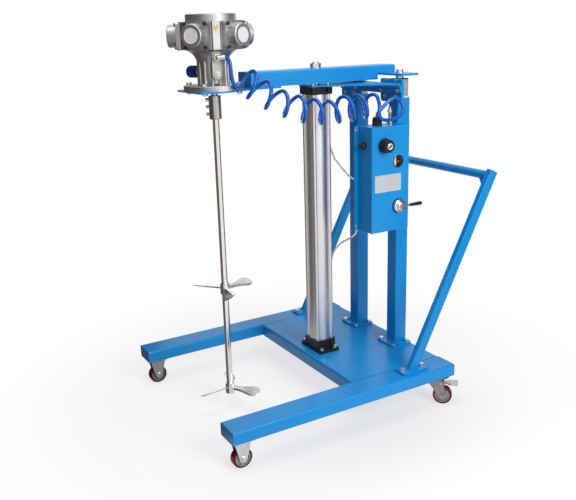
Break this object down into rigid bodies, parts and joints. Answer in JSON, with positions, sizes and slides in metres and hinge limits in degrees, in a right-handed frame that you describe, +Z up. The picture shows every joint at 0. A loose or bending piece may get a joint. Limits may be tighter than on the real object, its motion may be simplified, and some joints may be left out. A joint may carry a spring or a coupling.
{
  "type": "mobile pneumatic lift mixer",
  "caption": "Wheeled pneumatic lift mixer: U-shaped base, air cylinder with guide posts, arm, radial air motor and a long propeller shaft.",
  "frame": {"origin": "on the floor, below the centre of the plan outline", "axes": "+Z up, +Y towards the push handle, +X towards the control box side"},
  "size_m": [0.9696, 1.2116, 1.521],
  "materials": {
    "blue_paint": "gloss enamel",
    "barrel_aluminium": "drawn, satin",
    "column_aluminium": "drawn, matt",
    "black_anodised": "black anodised",
    "cast_aluminium": "cast, bead blasted",
    "bright_steel": "ground",
    "zinc_steel": "zinc plated",
    "caster_tread": "moulded polyurethane",
    "nickel_fitting": "nickel plated",
    "black_plastic": "moulded",
    "nylon": "machined",
    "blue_plastic": "dipped",
    "hose_blue": "extruded",
    "clear_tube": "extruded",
    "chrome": "plated",
    "brass": "turned",
    "muffler_blue": "moulded",
    "spindle_steel": "turned"
  },
  "bodies": {
    "chassis": {"side_rails": "blue_paint", "deck_tray": "blue_paint", "front_caster_forks": "zinc_steel", "rear_swivel_plates": "zinc_steel", "guide_posts": "blue_paint", "base_bolts": "zinc_steel", "cylinder_foot": "black_anodised", "cylinder_caps": "black_anodised", "cylinder_barrel": "barrel_aluminium", "rod_gland": "brass", "head_brace": "blue_paint", "guide_plates": "blue_paint", "guide_pads": "nylon", "frame_screws": "zinc_steel", "box_back_plate": "blue_paint", "box_cover": "blue_paint", "regulator_body": "black_plastic", "pressure_gauge": "brass", "lift_valve": "chrome", "speed_valve": "brass", "air_fittings": "black_plastic", "supply_nipple": "brass", "air_tube_upper": "clear_tube", "air_tube_lower": "clear_tube", "handle_tubes": "blue_paint", "handle_bar": "blue_paint", "hose_coil": "hose_blue", "hose_tail": "hose_blue"},
    "lift": {"inner_columns": "column_aluminium", "column_ends": "black_plastic", "rear_yoke": "blue_paint", "lift_nuts": "zinc_steel", "arm_beam": "blue_paint", "piston_rod": "bright_steel", "piston": "column_aluminium", "motor_plate": "blue_paint", "motor_housing": "cast_aluminium", "motor_heads": "cast_aluminium", "motor_covers": "cast_aluminium", "motor_screws": "zinc_steel", "inlet_elbow": "nickel_fitting", "exhaust_muffler": "muffler_blue", "hose_lead": "hose_blue"},
    "mixer": {"motor_spindle": "spindle_steel", "shaft_coupling": "spindle_steel", "mixer_shaft": "bright_steel", "upper_propeller": "bright_steel", "lower_propeller": "bright_steel"},
    "front_wheel_left": {"front_wheel_left": "caster_tread"},
    "front_wheel_right": {"front_wheel_right": "caster_tread"},
    "rear_caster_left": {"rear_fork_left": "zinc_steel"},
    "rear_caster_right": {"rear_fork_right": "zinc_steel"},
    "rear_wheel_left": {"rear_wheel_left": "caster_tread"},
    "rear_wheel_right": {"rear_wheel_right": "caster_tread"},
    "brake_left": {"brake_pedal_left": "zinc_steel"},
    "brake_right": {"brake_pedal_right": "zinc_steel"},
    "valve_lever": {"valve_lever": "chrome", "lever_grip": "blue_plastic"},
    "regulator_knob": {"regulator_knob": "black_plastic"},
    "speed_knob": {"speed_knob": "black_plastic"}
  },
  "joints": [
    {"name": "lift_slide", "type": "slide", "parent": "chassis", "child": "lift", "axis": [0, 0, 1], "range_m": [0, 0.85], "deforming": ["hose_coil"]},
    {"name": "mixer_spin", "type": "hinge", "parent": "lift", "child": "mixer", "pos_m": [0, -0.39784, 1.2], "axis": [0, 0, 1], "continuous": true},
    {"name": "front_wheel_left_roll", "type": "hinge", "parent": "chassis", "child": "front_wheel_left", "pos_m": [0.4, -0.55584, 0.0375], "axis": [1, 0, 0], "continuous": true},
    {"name": "rear_caster_left_swivel", "type": "hinge", "parent": "chassis", "child": "rear_caster_left", "pos_m": [0.405, 0.31516, 0.1], "axis": [0, 0, 1], "continuous": true},
    {"name": "rear_wheel_left_roll", "type": "hinge", "parent": "rear_caster_left", "child": "rear_wheel_left", "pos_m": [0.42763, 0.33779, 0.0375], "axis": [-0.7071, 0.7071, 0], "continuous": true},
    {"name": "brake_left_press", "type": "hinge", "parent": "rear_caster_left", "child": "brake_left", "pos_m": [0.42338, 0.33354, 0.0897], "axis": [-0.7071, 0.7071, 0], "range_deg": [0, 12]},
    {"name": "front_wheel_right_roll", "type": "hinge", "parent": "chassis", "child": "front_wheel_right", "pos_m": [-0.4, -0.55584, 0.0375], "axis": [1, 0, 0], "continuous": true},
    {"name": "rear_caster_right_swivel", "type": "hinge", "parent": "chassis", "child": "rear_caster_right", "pos_m": [-0.405, 0.31516, 0.1], "axis": [0, 0, 1], "continuous": true},
    {"name": "rear_wheel_right_roll", "type": "hinge", "parent": "rear_caster_right", "child": "rear_wheel_right", "pos_m": [-0.42763, 0.33779, 0.0375], "axis": [-0.7071, -0.7071, 0], "continuous": true},
    {"name": "brake_right_press", "type": "hinge", "parent": "rear_caster_right", "child": "brake_right", "pos_m": [-0.42338, 0.33354, 0.0897], "axis": [-0.7071, -0.7071, 0], "range_deg": [0, 12]},
    {"name": "valve_lever_turn", "type": "hinge", "parent": "chassis", "child": "valve_lever", "pos_m": [0.275, 0.23616, 0.797], "axis": [1, 0, 0], "range_deg": [-30, 30]},
    {"name": "regulator_turn", "type": "hinge", "parent": "chassis", "child": "regulator_knob", "pos_m": [0.275, 0.16816, 1.035], "axis": [1, 0, 0], "range_deg": [-360, 360]},
    {"name": "speed_turn", "type": "hinge", "parent": "chassis", "child": "speed_knob", "pos_m": [0.205, 0.10116, 1.034], "axis": [0, 1, 0], "range_deg": [-360, 360]}
  ]
}
